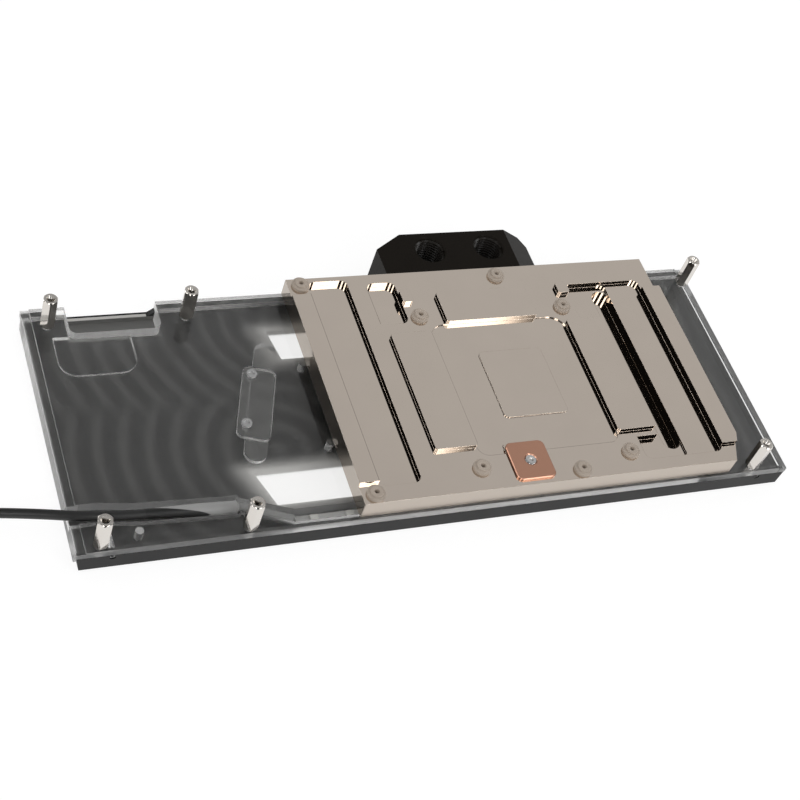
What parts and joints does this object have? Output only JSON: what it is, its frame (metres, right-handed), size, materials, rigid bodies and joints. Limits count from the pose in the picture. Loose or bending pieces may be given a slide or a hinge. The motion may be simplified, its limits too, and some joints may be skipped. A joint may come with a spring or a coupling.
{
  "type": "liquid cooling block with cold plate",
  "caption": "Full-cover liquid cooling block: nickel plated cold plate on a clear acrylic body in a black cover, with port block, standoffs and a light cable.",
  "frame": {"origin": "middle of the block's bounding box in plan, without the cable, on the front face of the cover", "axes": "+X along the board towards the end with the cold plate, +Y across the board towards the port block, +Z out of the cold plate's side"},
  "size_m": [0.4081, 0.1544, 0.0259],
  "materials": {
    "black_cover": "black anodised, satin",
    "clear_acrylic": "polished clear acrylic",
    "nickel_plated_copper": "milled and nickel plated",
    "nickel_plated_brass": "turned and nickel plated",
    "bare_copper": "bare copper, fine brushed",
    "black_acetal": "milled acetal, satin",
    "steel": "bright zinc plated",
    "seal_rubber": "matt",
    "beige_plastic": "matt",
    "strip_board": "satin",
    "lamp_plastic": "gloss",
    "grey_sleeve": "satin shrink sleeve",
    "black_cable": "satin",
    "plug_plastic": "satin",
    "tie_plastic": "satin"
  },
  "bodies": {
    "root": {"front_cover": "black_cover", "acrylic_body": "clear_acrylic", "cold_plate": "nickel_plated_copper", "jet_plate": "steel", "main_seal": "seal_rubber", "port_block": "black_acetal", "port_gaskets": "seal_rubber", "port_block_screws": "steel", "plate_screws": "steel", "cover_screws": "steel", "side_screws": "steel", "standoffs": "nickel_plated_brass", "insulating_washers": "beige_plastic", "copper_pad": "bare_copper", "copper_pad_screw": "steel", "light_bar": "clear_acrylic", "light_bar_screws": "steel", "light_strip": "strip_board", "lamps": "lamp_plastic", "cable_sleeve": "grey_sleeve", "strip_lead": "grey_sleeve", "led_cable": "black_cable", "led_cable_coil": "black_cable", "led_cable_tail": "black_cable", "led_plug": "plug_plastic", "cable_ties": "tie_plastic"}
  },
  "joints": []
}
